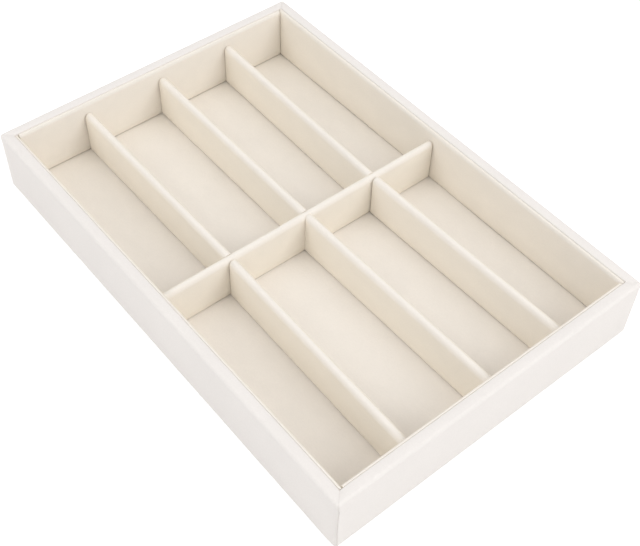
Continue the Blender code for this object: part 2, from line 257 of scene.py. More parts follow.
def new_material(name, roughness, specular):
    material = bpy.data.materials.new(name)
    material.use_nodes = True
    surface = material.node_tree.nodes["Principled BSDF"]
    surface.inputs["Roughness"].default_value = roughness
    surface.inputs["Specular IOR Level"].default_value = specular
    return material, material.node_tree, surface


def pattern_place(tree, stretch=(1, 1, 1)):
    """Places on the piece in metres, stretched to draw a pattern out along an axis."""
    place = add_node(tree, "ShaderNodeTexCoord").outputs["Object"]
    return add_node(tree, "ShaderNodeMapping", {"Vector": place, "Scale": stretch}).outputs["Vector"]


def patches(tree, place, size, detail, distortion=0.0):
    """Soft random patches of a real size in metres, as a value round a half."""
    settings = {"Vector": place, "Scale": 1 / size, "Detail": detail, "Distortion": distortion}
    return add_node(tree, "ShaderNodeTexNoise", settings).outputs["Fac"]


def between(tree, value, low, high, start=0.3, end=0.7):
    """Spreads a value from start to end over the numbers from low to high."""
    settings = {"Value": value, "From Min": start, "From Max": end, "To Min": low, "To Max": high}
    return add_node(tree, "ShaderNodeMapRange", settings).outputs["Result"]


def tint(tree, factor, first, second, blend="MIX"):
    """Mixes two colours. Sockets 0, 6 and 7 of the node are its factor and its two colours."""
    inputs = {0: factor, 6: first, 7: second}
    return add_node(tree, "ShaderNodeMix", inputs, data_type="RGBA", blend_type=blend).outputs[2]


def relief(tree, height, depth, strength, over=None):
    """A bump of a real depth in metres, over another one if given."""
    inputs = {"Height": height, "Distance": depth, "Strength": strength}
    if over is not None:
        inputs["Normal"] = over
    return add_node(tree, "ShaderNodeBump", inputs).outputs["Normal"]


# Materials


def leatherette(colours):
    """Polyurethane on cloth, embossed with a fine pebble grain."""
    material, tree, surface = new_material("white_embossed_leatherette", 0.6, 0.25)
    place = pattern_place(tree)
    # Real pebbles are about 0.5 mm. They are drawn at 1.1 mm, so that they just show in the photo's view.
    pebble_size = 0.0011
    pore_size = 0.0004
    stray = add_node(tree, "ShaderNodeTexNoise", {"Vector": place, "Scale": 700}).outputs["Color"]
    wander = tint(tree, 0.0006, place, stray, "ADD")
    pebbles = add_node(
        tree, "ShaderNodeTexVoronoi", {"Vector": wander, "Scale": 1 / pebble_size}, feature="SMOOTH_F1"
    ).outputs["Distance"]
    grain = between(tree, pebbles, 1, 0, 0.1, 0.65)
    pores = patches(tree, place, pore_size, 3)
    # The coating is a little warmer and darker between pebbles, and its glue line makes slow pale patches.
    slow = between(tree, patches(tree, place, 0.045, 3), 0, 1)
    base = tint(tree, slow, shade(colours.leatherette, 0.985), shade(colours.leatherette, 1.012))
    base = tint(tree, between(tree, grain, 0.35, 0, 0, 1), base, shade(colours.leatherette, 0.93))
    # Painted sheen: the colour is made paler where the surface turns away from the eye, standing in for the
    # reflection of the white surroundings at grazing angles.
    facing = add_node(tree, "ShaderNodeLayerWeight", {"Blend": 0.5}).outputs["Facing"]
    base = tint(tree, between(tree, facing, 0, 1, 0.75, 1), base, shade(colours.leatherette, 1.16))
    tree.links.new(base, surface.inputs["Base Color"])
    tree.links.new(between(tree, pores, 0.54, 0.66), surface.inputs["Roughness"])
    bumps = relief(tree, grain, 0.00007, 0.5)
    tree.links.new(relief(tree, pores, 0.00003, 0.4, bumps), surface.inputs["Normal"])
    return material


def velvet(colours):
    """Flocked velvet: short upright pile, brushed one way, which is pale and has no gloss."""
    material, tree, surface = new_material("cream_flocked_velvet", 0.92, 0.15)
    surface.inputs["Sheen Weight"].default_value = 0.6
    surface.inputs["Sheen Roughness"].default_value = 0.45
    surface.inputs["Sheen Tint"].default_value = shade(colours.velvet, 1.1)
    place = pattern_place(tree)
    # The nap lies along the tray. Its tufts are about 0.4 mm, and are drawn at 0.9 mm so that they show.
    tuft_size = 0.0009
    nap = pattern_place(tree, (0.6, 1, 1))
    tufts = patches(tree, nap, tuft_size, 3, 0.4)
    brushed = between(tree, patches(tree, nap, 0.014, 4, 0.6), 0, 1)
    slow = between(tree, patches(tree, place, 0.07, 2), 0, 1)
    base = tint(tree, brushed, shade(colours.velvet, 0.975), shade(colours.velvet, 1.015))
    base = tint(tree, between(tree, slow, 0, 0.5, 0, 1), base, shade(colours.velvet, 0.985))
    base = tint(tree, between(tree, tufts, 0.3, 0), base, shade(colours.velvet, 0.9))
    # Painted shade: velvet facing up more than 20 mm up, over the tops of the liners and dividers, is
    # darkened. So is velvet that doesn't face up, about 8 mm up, in the creases where a divider's foot meets
    # the floor.
    height = add_node(tree, "ShaderNodeSeparateXYZ", {"Vector": place}).outputs["Z"]
    normal = add_node(tree, "ShaderNodeTexCoord").outputs["Normal"]
    up = add_node(tree, "ShaderNodeSeparateXYZ", {"Vector": normal}).outputs["Z"]
    upper = between(tree, height, 0, 1, 0.02, 0.03)
    top_shade_mask = between(tree, up, 0, upper, 0.2, 0.9)
    upright = between(tree, up, 1, 0, 0.2, 0.8)
    crease_shade_mask = between(tree, height, upright, 0, 0.0082, 0.009)
    base = tint(tree, top_shade_mask, base, PAINTED_TOP_SHADE, "MULTIPLY")
    base = tint(tree, crease_shade_mask, base, PAINTED_CREASE_SHADE, "MULTIPLY")
    # Painted bounce light: velvet turned from the eye is tinted warmer, standing in for the warm light
    # bounced between the velvet walls.
    facing = add_node(tree, "ShaderNodeLayerWeight", {"Blend": 0.25}).outputs["Facing"]
    side = between(tree, facing, 0, 1, 0.12, 0.35)
    base = tint(tree, side, base, shade(colours.velvet_bounce_tint, 1), "MULTIPLY")
    tree.links.new(base, surface.inputs["Base Color"])
    fluff = relief(tree, tufts, 0.00018, 0.5)
    tree.links.new(relief(tree, brushed, 0.00025, 0.35, fluff), surface.inputs["Normal"])
    return material


def fibreboard(colours):
    """Pressed and sanded wood fibre: matt brown, with short pale and dark fibres."""
    material, tree, surface = new_material("sanded_fibreboard", 0.85, 0.25)
    place = pattern_place(tree, (1, 1, 2.5))
    fibres = patches(tree, place, 0.0012, 5, 1.2)
    slow = between(tree, patches(tree, place, 0.02, 2), 0, 1)
    base = tint(tree, slow, shade(colours.fibreboard, 0.9), shade(colours.fibreboard, 1.08))
    base = tint(tree, between(tree, fibres, 0.55, 0, 0.3, 0.55), base, shade(colours.fibreboard, 0.6))
    tree.links.new(base, surface.inputs["Base Color"])
    tree.links.new(between(tree, fibres, 0.78, 0.92), surface.inputs["Roughness"])
    tree.links.new(relief(tree, fibres, 0.00008, 0.5), surface.inputs["Normal"])
    return material


def greyboard(colours):
    """Board of recycled pulp: grey, with darker and browner flecks."""
    material, tree, surface = new_material("recycled_greyboard", 0.9, 0.2)
    place = pattern_place(tree)
    pulp = patches(tree, place, 0.003, 5, 0.5)
    flecks = patches(tree, place, 0.0008, 2, 2.0)
    mottle = between(tree, pulp, 0, 1)
    base = tint(tree, mottle, shade(colours.greyboard, 0.88), shade(colours.greyboard, 1.1))
    brown = from_hex("#6E5B45") + (1,)
    base = tint(tree, between(tree, flecks, 0, 0.6, 0.6, 0.72), base, brown)
    tree.links.new(base, surface.inputs["Base Color"])
    tree.links.new(between(tree, pulp, 0.84, 0.95), surface.inputs["Roughness"])
    tree.links.new(relief(tree, pulp, 0.0001, 0.4), surface.inputs["Normal"])
    return material


def backing(colours):
    """Bonded-fibre sheet: off-white, with fine crossing fibres and the small dents of its bonding."""
    material, tree, surface = new_material("bonded_backing_sheet", 0.8, 0.25)
    fibre_width = 0.0009
    dent_spacing = 0.0025
    along_x = patches(tree, pattern_place(tree, (0.25, 1, 1)), fibre_width, 4, 0.8)
    along_y = patches(tree, pattern_place(tree, (1, 0.25, 1)), fibre_width, 4, 0.8)
    fibres = tint(tree, 0.5, along_x, along_y, "LIGHTEN")
    inputs = {"Vector": pattern_place(tree), "Scale": 1 / dent_spacing, "Randomness": 0.35}
    dents = add_node(tree, "ShaderNodeTexVoronoi", inputs).outputs["Distance"]
    pressed = between(tree, dents, 1, 0, 0.1, 0.3)
    base = between(tree, fibres, 0, 1, 0.4, 0.65)
    base = tint(tree, base, shade(colours.backing, 0.93), shade(colours.backing, 1.03))
    base = tint(tree, between(tree, pressed, 0, 0.4, 0, 1), base, shade(colours.backing, 0.86))
    tree.links.new(base, surface.inputs["Base Color"])
    tree.links.new(between(tree, fibres, 0.72, 0.88), surface.inputs["Roughness"])
    bumps = relief(tree, fibres, 0.00006, 0.5)
    tree.links.new(relief(tree, pressed, -0.00008, 0.6, bumps), surface.inputs["Normal"])
    return material


def tray_material(make, context):
    """The tray's material of that make, made the first time that a piece asks for it."""
    key = "tray_" + make.__name__
    name = context.scene.get(key)
    if name is None:
        name = context.scene[key] = make(context.scene.tray_colours).name
    return bpy.data.materials[name]


# Modelling


def start_block(name, low, high):
    """Adds a cube that fills the space between two corners, and enters edit mode with nothing selected."""
    bpy.ops.object.select_all(action="DESELECT")
    bpy.ops.mesh.primitive_cube_add(size=1, location=(low + high) / 2, scale=high - low)
    obj = bpy.context.object
    obj.name = obj.data.name = name
    bpy.ops.object.transform_apply(location=True, rotation=True, scale=True)
    bpy.ops.object.mode_set(mode="EDIT")
    bpy.ops.mesh.select_all(action="DESELECT")
    return obj


def make_active(obj):
    bpy.ops.object.select_all(action="DESELECT")
    obj.select_set(True)
    bpy.context.view_layer.objects.active = obj


def pick(obj, kind, wanted):
    """Selects just the vertices, edges or faces for which wanted is true."""
    bpy.ops.mesh.select_mode(type=kind)
    bpy.ops.mesh.select_all(action="DESELECT")
    bm = bmesh.from_edit_mesh(obj.data)
    found = [part for part in {"VERT": bm.verts, "EDGE": bm.edges, "FACE": bm.faces}[kind] if wanted(part)]
    if not found:
        raise RuntimeError("nothing to select on " + obj.name)
    for part in found:
        part.select_set(True)
    bmesh.update_edit_mesh(obj.data)


def middle(part):
    return sum((vert.co for vert in part.verts), Vector()) / len(part.verts)


def along(edge, axis):
    """The length of an edge that runs along an axis, or nothing for one that doesn't."""
    line = edge.verts[1].co - edge.verts[0].co
    return abs(line[axis]) if abs(line[axis]) > ALONG * line.length else 0


def round_edges(obj, radius, steps, wanted):
    pick(obj, "EDGE", wanted)
    bpy.ops.mesh.bevel(offset=radius, segments=steps, affect="EDGES")


def divide(obj, shortest, cell):
    """Cuts the edges that run along each axis, and are longer than its shortest, into cells."""
    for axis, least in shortest.items():
        pick(obj, "EDGE", lambda edge: along(edge, axis) > least)
        bm = bmesh.from_edit_mesh(obj.data)
        longest = max(along(edge, axis) for edge in bm.edges if edge.select)
        bpy.ops.mesh.subdivide(number_cuts=max(1, round(longest / cell) - 1))


def in_end(edge, x, lowest_y, lowest_z=0):
    """Whether an edge lies in the end face at x, but not along the back or the bottom of the piece."""
    in_face = all(abs(vert.co.x - x) < SAME_PLACE for vert in edge.verts)
    return in_face and middle(edge).y > lowest_y + SAME_PLACE and middle(edge).z > lowest_z + SAME_PLACE


def clear_slivers(obj):
    """Merges points that count as one, and with them the needle-thin faces between them."""
    pick(obj, "VERT", lambda vert: True)
    bpy.ops.mesh.remove_doubles(threshold=SAME_PLACE)
    bpy.ops.mesh.dissolve_degenerate(threshold=SAME_PLACE)


def leave_editing():
    bpy.ops.object.mode_set(mode="OBJECT")


def apply_modifier(obj, name, kind, **settings):
    modifier = obj.modifiers.new(name, kind)
    for key, value in settings.items():
        setattr(modifier, key, value)
    bpy.context.view_layer.objects.active = obj
    bpy.ops.object.modifier_apply(modifier=name)


def unevenness(name, size):
    """Soft clouds of a real size, by which glued cloth departs from its board."""
    clouds = bpy.data.textures.new(name, "CLOUDS")
    clouds.noise_scale = size
    clouds.noise_depth = 1
    return clouds


def loosen(obj, how_loose):
    """Records how far each vertex follows the slow waves, from nothing to one."""
    group = obj.vertex_groups.new(name="loose")
    for vert in obj.data.vertices:
        group.add([vert.index], max(0, min(1, how_loose(vert.co))), "REPLACE")


def add_waves(obj, height, size):
    settings = {"strength": height, "mid_level": 0.5, "texture_coords": "LOCAL"}
    if "loose" in obj.vertex_groups:
        settings["vertex_group"] = "loose"
    texture = unevenness(obj.name + "_waves", size)
    apply_modifier(obj, "waves", "DISPLACE", texture=texture, **settings)
    obj.vertex_groups.clear()


def draw_up(obj, crown):
    """Stretches a piece upwards, so that its rounded top edges become higher than wide."""
    pick(obj, "VERT", lambda vert: True)
    bpy.ops.transform.resize(value=(1, 1, crown), center_override=(0, 0, 0))


def make_cloth(obj, thickness):
    """Gives an open surface its thickness, inwards."""
    apply_modifier(obj, "cloth", "SOLIDIFY", thickness=thickness, offset=-1, use_quality_normals=True)


def dress(obj, body, nodes, material):
    """Shades a finished piece, gives it its material, and lets it stand for its CAD nodes."""
    make_active(obj)
    bpy.ops.object.shade_smooth_by_angle(angle=SMOOTH_ANGLE)
    obj.data.materials.clear()
    obj.data.materials.append(material)
    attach(obj, body)
    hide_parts(*nodes)


# Leatherette cover


def from_mitre(point, side_x, side_y):
    """How far a point lies from the upright plane through a corner of the box and its mitre."""
    offset = WRAP_HIGH.x - WRAP_HIGH.y
    return (side_x * point.x - side_y * point.y - offset) / math.sqrt(2)


def on_mitre(point, side_x, side_y):
    return abs(from_mitre(point, side_x, side_y)) < 2 * SAME_PLACE


def in_corner(point, side_x, side_y, reach):
    """Whether a point is within reach of a corner of the box along both walls."""
    return side_x * point.x > WRAP_HIGH.x - reach and side_y * point.y > WRAP_HIGH.y - reach


def make_cover_shell(sizes):
    """The leatherette as an open surface: outside, rim, turn-in and turn-under."""
    cover = start_block("leatherette_cover", WRAP_LOW, WRAP_HIGH)
    round_edges(cover, sizes.cover_radius, WIDE_STEPS, lambda edge: True)
    pick(cover, "FACE", lambda face: face.normal.z > ALONG and face.calc_area() > BOX_FACE_AREA)
    bpy.ops.mesh.inset(thickness=sizes.rim_width - sizes.cover_radius)
    bpy.ops.mesh.extrude_region_move(TRANSFORM_OT_translate={"value": (0, 0, -sizes.cover_turn_in)})
    bpy.ops.mesh.delete(type="FACE")
    pick(cover, "FACE", lambda face: face.normal.z < -ALONG and face.calc_area() > BOX_FACE_AREA)
    bpy.ops.mesh.inset(thickness=sizes.cover_turn_under - sizes.cover_radius)
    bpy.ops.mesh.delete(type="FACE")
    return cover


def round_inner_rim(cover, sizes):
    """Rounds the rim where the leatherette turns down inside the box."""
    inner_x = WRAP_HIGH.x - sizes.rim_width
    inner_y = WRAP_HIGH.y - sizes.rim_width

    def at_inner_edge(edge):
        point = middle(edge)
        on_line = abs(abs(point.x) - inner_x) < SAME_PLACE or abs(abs(point.y) - inner_y) < SAME_PLACE
        return on_line and point.z > WRAP_HIGH.z - SAME_PLACE

    round_edges(cover, sizes.rim_radius, FINE_STEPS, at_inner_edge)


def cut_mitres(cover, sizes):
    """Cuts the rounded corners along their mitre planes, so that the creases have edges to follow."""
    reach = 1.01 * sizes.cover_radius
    for side_x, side_y in CORNERS:
        pick(
            cover,
            "FACE",
            lambda face: all(in_corner(vert.co, side_x, side_y, reach) for vert in face.verts),
        )
        bpy.ops.mesh.bisect(
            plane_co=(side_x * WRAP_HIGH.x, side_y * WRAP_HIGH.y, 0),
            plane_no=(side_x, -side_y, 0),
            threshold=SAME_PLACE,
        )


def crease_mitres(cover, sizes):
    """Presses a fine crease along the flat of each rim corner's mitre, deepest at its inner end."""
    flat = WRAP_HIGH.z - 0.01 * sizes.cover_radius
    inner_reach = sizes.rim_width - 0.9 * sizes.rim_radius
    outer_reach = 1.5 * sizes.cover_radius
    outer_depth = 0.4 * sizes.mitre_depth
    for side_x, side_y in CORNERS:

        def on_flat_mitre(vert):
            return on_mitre(vert.co, side_x, side_y) and vert.co.z > flat

        def within(vert, reach):
            return in_corner(vert.co, side_x, side_y, reach)

        def in_crease(edge):
            return all(on_flat_mitre(vert) and within(vert, inner_reach) for vert in edge.verts)

        pick(cover, "EDGE", in_crease)
        bpy.ops.mesh.bevel(offset=sizes.mitre_width / 2, segments=FINEST_STEPS, affect="EDGES")
        pick(cover, "VERT", lambda vert: on_flat_mitre(vert) and within(vert, outer_reach))
        bpy.ops.transform.translate(value=(0, 0, -outer_depth))
        pick(cover, "VERT", lambda vert: on_flat_mitre(vert) and not within(vert, outer_reach))
        bpy.ops.transform.translate(value=(0, 0, -sizes.mitre_depth))


def open_mitres(cover, sizes):
    """Pulls each rim corner open at the inner end of its mitre."""
    lowest = WRAP_HIGH.z - 2 * sizes.rim_radius
    inner_reach = 1.001 * sizes.rim_width
    outer_reach = sizes.rim_width - 1.1 * sizes.rim_radius
    for side_x, side_y in CORNERS:
        pick(
            cover,
            "VERT",
            lambda vert: vert.co.z > lowest
            and abs(from_mitre(vert.co, side_x, side_y)) < sizes.mitre_width
            and in_corner(vert.co, side_x, side_y, inner_reach)
            and not in_corner(vert.co, side_x, side_y, outer_reach),
        )
        bpy.ops.transform.translate(value=(side_x * sizes.mitre_gap, side_y * sizes.mitre_gap, 0))


def open_seam(cover, sizes):
    """Parts the leatherette's ends along the upright edge of the near corner, between its rounded ends."""
    side_x, side_y = NEAR_CORNER
    margin = 0.99 * sizes.cover_radius

    def in_seam(vert):
        between_ends = WRAP_LOW.z + margin < vert.co.z < WRAP_HIGH.z - margin
        at_edge = in_corner(vert.co, side_x, side_y, sizes.cover_radius)
        return between_ends and at_edge and on_mitre(vert.co, side_x, side_y)

    pick(cover, "EDGE", lambda edge: all(in_seam(vert) for vert in edge.verts))
    bpy.ops.mesh.bevel(offset=sizes.seam_width / 2, segments=FINEST_STEPS, affect="EDGES")
    pick(cover, "VERT", in_seam)
    inwards = sizes.seam_depth / math.sqrt(2)
    bpy.ops.transform.translate(value=(-side_x * inwards, -side_y * inwards, 0))


def near_corner_centre(radius):
    """The X and Y of the line that the near corner's upright edge is rounded about."""
    side_x, side_y = NEAR_CORNER
    return side_x * (WRAP_HIGH.x - radius), side_y * (WRAP_HIGH.y - radius)


def carry_seam_round(cover, sizes):
    """Carries the groove of the seam over the rounded ends of the upright edge."""
    radius = sizes.cover_radius
    for vert in cover.data.vertices:
        if not (on_mitre(vert.co, *NEAR_CORNER) and in_corner(vert.co, *NEAR_CORNER, radius)):
            continue
        for centre_z, way in ((WRAP_HIGH.z - radius, 1), (WRAP_LOW.z + radius, -1)):
            out = vert.co - Vector((*near_corner_centre(radius), centre_z))
            if way * out.z > 0.01 * radius:
                vert.co -= sizes.seam_depth * out.normalized()


def way_round(out, radius):
    """A point's run along the surface from the corner line, positive on the right wall, and its reach out."""
    quarter = radius * math.pi / 4
    if out.y < 0:
        return quarter - out.y, out.x
    if out.x < 0:
        return out.x - quarter, out.y
    return radius * math.atan2(out.x, out.y) - quarter, out.length


def place_round(run, reach, radius):
    """The point with that run along the surface and that reach out."""
    quarter = radius * math.pi / 4
    if run > quarter:
        return Vector((reach, quarter - run))
    if run < -quarter:
        return Vector((run + quarter, reach))
    turn = (run + quarter) / radius
    return Vector((reach * math.sin(turn), reach * math.cos(turn)))


def shape_seam(cover, sizes):
    """Lifts the lapped end beside the seam, and lets both stray on to the right wall.

    They stray most below the rounded rim and at the foot, less halfway down, and not at all at the top.
    """
    side_x, side_y = NEAR_CORNER
    radius = sizes.cover_radius
    centre_x, centre_y = near_corner_centre(radius)
    height = WRAP_HIGH.z - WRAP_LOW.z
    least_out = 0.0001
    lap_start = 0.4 * sizes.seam_width
    least_wander = 0.4
    settled = 3 * radius
    for vert in cover.data.vertices:
        out = Vector((side_x * (vert.co.x - centre_x), side_y * (vert.co.y - centre_y)))
        if max(out) <= least_out or min(out) < -2 * sizes.seam_reach:
            continue
        run, reach = way_round(out, radius)
        down = (WRAP_HIGH.z - vert.co.z) / height
        ease = min(1, down * height / settled)
        ease *= ease * (3 - 2 * ease)
        if run > lap_start:
            reach += sizes.seam_lip * ease * max(0, 1 - run / sizes.seam_reach)
        fade = max(0, 1 - max(0, abs(run) - sizes.seam_reach) / sizes.seam_reach)
        wander = least_wander + (1 - least_wander) * (2 * down - 1) ** 2
        run += sizes.seam_wander * wander * ease * fade
        out = place_round(run, reach, radius)
        vert.co.x = centre_x + side_x * out.x
        vert.co.y = centre_y + side_y * out.y


class TRAY_OT_leatherette_cover(bpy.types.Operator):
    """Wraps the box in one strip of leatherette, mitred at the rim and lapped at the near corner"""

    bl_idname = "tray.leatherette_cover"
    bl_label = "Leatherette Cover"

    def execute(self, context):
        sizes = context.scene.tray_sizes
        cover = make_cover_shell(sizes)
        round_inner_rim(cover, sizes)
        cut_mitres(cover, sizes)
        crease_mitres(cover, sizes)
        open_seam(cover, sizes)
        clear_slivers(cover)
        divide(cover, COVER_EDGES, sizes.cell)
        open_mitres(cover, sizes)
        leave_editing()
        carry_seam_round(cover, sizes)
        shape_seam(cover, sizes)
        # The inner edge of the rim is held by the liners.
        inner_x = WRAP_HIGH.x - sizes.rim_width
        inner_y = WRAP_HIGH.y - sizes.rim_width
        loosen(cover, lambda co: max(abs(co.x) - inner_x, abs(co.y) - inner_y) / sizes.cover_radius)
        add_waves(cover, sizes.cover_wave, COVER_WAVE_SIZE)
        make_cloth(cover, sizes.cover_thickness)
        dress(cover, "tray", ["leatherette_wrap"], tray_material(leatherette, context))
        return {"FINISHED"}


# Velvet lining


class TRAY_OT_floor_velvet(bpy.types.Operator):
    """Lays the velvet of the floor, a little uneven over its board"""

    bl_idname = "tray.floor_velvet"
    bl_label = "Floor Velvet"

    def execute(self, context):
        sizes = context.scene.tray_sizes
        floor = start_block("floor_cloth", FLOOR_LOW, FLOOR_HIGH)
        top = FLOOR_HIGH.z - FRAME_GAP
        round_edges(floor, FLOOR_EDGE_RADIUS, FINEST_STEPS, lambda edge: middle(edge).z > top)
        divide(floor, FLOOR_EDGES, sizes.cell)
        leave_editing()
        add_waves(floor, sizes.velvet_wave, FLOOR_WAVE_SIZE)
        dress(floor, "tray", ["floor_velvet"], tray_material(velvet, context))
        return {"FINISHED"}


def make_liner(name, span, sizes):
    """A liner's velvet along X, with its face to +Y: from its hem up over the board and down to its foot."""
    half = LINER_THICKNESS / 2
    back = -half - sizes.liner_press
    height = LINER_HIGH.z - LINER_LOW.z
    undrawn = height / sizes.liner_crown
    hem = height - sizes.liner_hem
    liner = start_block(name, Vector((-span / 2, back, 0)), Vector((span / 2, half, undrawn)))

    def round_long_edge(y, z, radius, steps):
        place = Vector((0, y, z))
        round_edges(liner, radius, steps, lambda edge: (middle(edge) - place).length < SAME_PLACE)

    round_long_edge(half, undrawn, sizes.liner_face_radius, WIDE_STEPS)
    round_long_edge(back, undrawn, sizes.liner_back_radius, FINE_STEPS)
    draw_up(liner, sizes.liner_crown)
    round_long_edge(half, 0, sizes.liner_foot_radius, FINE_STEPS)
    lowest_y = back + sizes.liner_back_radius
    for x in (-span / 2, span / 2):
        round_edges(liner, sizes.liner_end_radius, FINE_STEPS, lambda edge: in_end(edge, x, lowest_y))
    clear_slivers(liner)
    pick(liner, "FACE", lambda face: face.normal.y < -ALONG)
    bpy.ops.mesh.bisect(plane_co=(0, 0, hem), plane_no=(0, 0, 1))
    pick(
        liner,
        "FACE",
        lambda face: (face.normal.y < -ALONG and middle(face).z < hem) or face.normal.z < -ALONG,
    )
    bpy.ops.mesh.delete(type="FACE")
    divide(liner, LINER_EDGES, sizes.cell)
    leave_editing()
    loosen(liner, lambda co: (co.y - back) / LINER_THICKNESS)
    return liner


def put_in_place(obj, centre, turn):
    """Turns a piece about Z, moves it to its place, and leaves that place in its mesh."""
    make_active(obj)
    obj.rotation_euler = (0, 0, turn)
    obj.location = centre
    bpy.ops.object.transform_apply(location=True, rotation=True, scale=True)


class TRAY_OT_wall_liners(bpy.types.Operator):
    """Stands a velvet-covered liner against each wall"""

    bl_idname = "tray.wall_liners"
    bl_label = "Wall Liners"

    def execute(self, context):
        sizes = context.scene.tray_sizes
        quarter = math.pi / 2
        for side, turn in zip(LINERS, (0, quarter, 2 * quarter, -quarter)):
            low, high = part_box(side + "_liner_velvet")
            liner = make_liner(side + "_liner_cloth", max(high.x - low.x, high.y - low.y), sizes)
            put_in_place(liner, ((low.x + high.x) / 2, (low.y + high.y) / 2, low.z), turn)
            add_waves(liner, sizes.velvet_wave, STRIP_WAVE_SIZE)
            make_cloth(liner, sizes.liner_velvet)
            dress(liner, "tray", [side + "_liner_velvet"], tray_material(velvet, context))
        return {"FINISHED"}


# Dividers


def make_divider(name, size, foot_radius, end_radii, sizes):
    """A divider's velvet along X, as a sleeve that is rounded all over and turned under at its foot."""
    half = Vector((size.x / 2, size.y / 2, 0))
    sleeve = start_block(name, -half, half + Vector((0, 0, size.z / sizes.divider_crown)))
    # At least a tenth of its width stays level between the rounds of its top edges.
    radius = min(sizes.divider_radius, 0.45 * size.y)
    foot_radius = min(foot_radius, radius)
    round_edges(sleeve, radius, WIDE_STEPS, lambda edge: along(edge, 0) and middle(edge).z > SAME_PLACE)
    draw_up(sleeve, sizes.divider_crown)
    round_edges(
        sleeve, foot_radius, END_STEPS, lambda edge: along(edge, 0) and middle(edge).z < SAME_PLACE
    )
    for x, end_radius in zip((-half.x, half.x), end_radii):
        round_edges(sleeve, end_radius, END_STEPS, lambda edge: in_end(edge, x, -size.y, -size.z))
    clear_slivers(sleeve)
    pick(sleeve, "FACE", lambda face: face.normal.z < -ALONG and face.calc_area() > FOOT_AREA)
    bpy.ops.mesh.inset(thickness=sizes.divider_turn_under - foot_radius)
    bpy.ops.mesh.delete(type="FACE")
    divide(sleeve, DIVIDER_EDGES, sizes.cell)
    leave_editing()
    loosen(sleeve, lambda co: (half.x - abs(co.x)) / sizes.cell)
    return sleeve


def split_end(sleeve, x):
    """Cuts the end face at x into level strips, so that it can follow a rounded neighbour."""

    def at_end(vert):
        return abs(vert.co.x - x) < SAME_PLACE

    heights = sorted({round(vert.co.z, 5) for vert in sleeve.data.vertices if at_end(vert)})
    make_active(sleeve)
    bpy.ops.object.mode_set(mode="EDIT")
    for height in heights[1:-1]:
        pick(sleeve, "FACE", lambda face: all(at_end(vert) for vert in face.verts))
        bpy.ops.mesh.bisect(plane_co=(0, 0, height), plane_no=(0, 0, 1), threshold=2 * SAME_PLACE)
    leave_editing()


def press_end(sleeve, neighbour, turn, end, sizes):
    """Presses the end of a sleeve against its neighbour, whose rounding its pile then follows."""
    way = Vector((math.cos(turn), math.sin(turn), 0))
    # Each point of the end looks for its neighbour from this far back, so as to start outside it.
    run_up = 5 * sizes.butt_reach
    for vert in sleeve.data.vertices:
        inset = end - vert.co.dot(way)
        if inset > 1.01 * sizes.butt_radius:
            continue
        start = vert.co + (inset - run_up) * way
        hit, place, _, _ = neighbour.ray_cast(start, way, distance=run_up + sizes.butt_reach)
        room = (place - start).length - run_up - sizes.butt_gap if hit else sizes.butt_reach
        vert.co += min(room, sizes.butt_reach) * way


def finish_divider(sleeve, name, context):
    make_cloth(sleeve, context.scene.tray_sizes.divider_velvet)
    dress(sleeve, name, [name + "_velvet"], tray_material(velvet, context))


def divider_place(name):
    """The size of a divider's velvet along, across and up, the middle of its foot, and its turn about Z."""
    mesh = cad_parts[name + "_velvet"].data
    points = [Vector(point) for point in {tuple(vert.co) for vert in mesh.vertices}]
    centre = sum(points, Vector()) / len(points)
    spread = [point - centre for point in points]
    lean = sum(out.x * out.y for out in spread)
    turn = math.atan2(2 * lean, sum(out.x**2 - out.y**2 for out in spread)) / 2
    axes = Matrix.Rotation(turn, 3, "Z").transposed()
    reach = [axes @ out for out in spread]
    size = Vector([max(out[i] for out in reach) - min(out[i] for out in reach) for i in range(3)])
    return size, Vector((centre.x, centre.y, min(point.z for point in points))), turn


class TRAY_OT_centre_divider(bpy.types.Operator):
    """Stands the long divider from the front liner to the back one"""

    bl_idname = "tray.centre_divider"
    bl_label = "Centre Divider"

    def execute(self, context):
        sizes = context.scene.tray_sizes
        size, foot, turn = divider_place("centre_divider")
        ends = (sizes.end_radius, sizes.end_radius)
        sleeve = make_divider("centre_divider_cloth", size, sizes.centre_foot_radius, ends, sizes)
        put_in_place(sleeve, foot, turn)
        add_waves(sleeve, sizes.velvet_wave, STRIP_WAVE_SIZE)
        finish_divider(sleeve, "centre_divider", context)
        return {"FINISHED"}


class TRAY_OT_short_dividers(bpy.types.Operator):
    """Stands three short dividers on each side of the centre one"""

    bl_idname = "tray.short_dividers"
    bl_label = "Short Dividers"

    def execute(self, context):
        sizes = context.scene.tray_sizes
        centre = bpy.data.objects["centre_divider_cloth"]
        model_size, _, _ = divider_place("left_front_divider")
        ends = (sizes.end_radius, sizes.butt_radius)
        model = make_divider("divider_model", model_size, sizes.foot_radius, ends, sizes)
        split_end(model, model_size.x / 2)
        ends = (sizes.end_radius, sizes.end_radius)
        round_model = make_divider("round_divider_model", model_size, sizes.foot_radius, ends, sizes)
        for side, about in (("left", 0), ("right", math.pi)):
            for row in ROWS:
                name = side + "_" + row + "_divider"
                size, foot, turn = divider_place(name)
                sleeve = (round_model if name == ROUND_ENDED else model).copy()
                sleeve.data = sleeve.data.copy()
                sleeve.name = sleeve.data.name = name + "_cloth"
                context.scene.collection.objects.link(sleeve)
                # Each fills the length of its place.
                stretch = (size.x - model_size.x) / 2
                short = sizes.open_end if name == STANDING_OFF else 0
                for vert in sleeve.data.vertices:
                    vert.co.x += stretch - short if vert.co.x > 0 else -stretch
                put_in_place(sleeve, foot, turn + about)
                add_waves(sleeve, sizes.velvet_wave, STRIP_WAVE_SIZE)
                if name not in (ROUND_ENDED, STANDING_OFF):
                    way = Vector((math.cos(turn + about), math.sin(turn + about), 0))
                    press_end(sleeve, centre, turn + about, foot.dot(way) + size.x / 2, sizes)
                finish_divider(sleeve, name, context)
        bpy.data.objects.remove(model)
        bpy.data.objects.remove(round_model)
        return {"FINISHED"}


# Boards that the frame already has


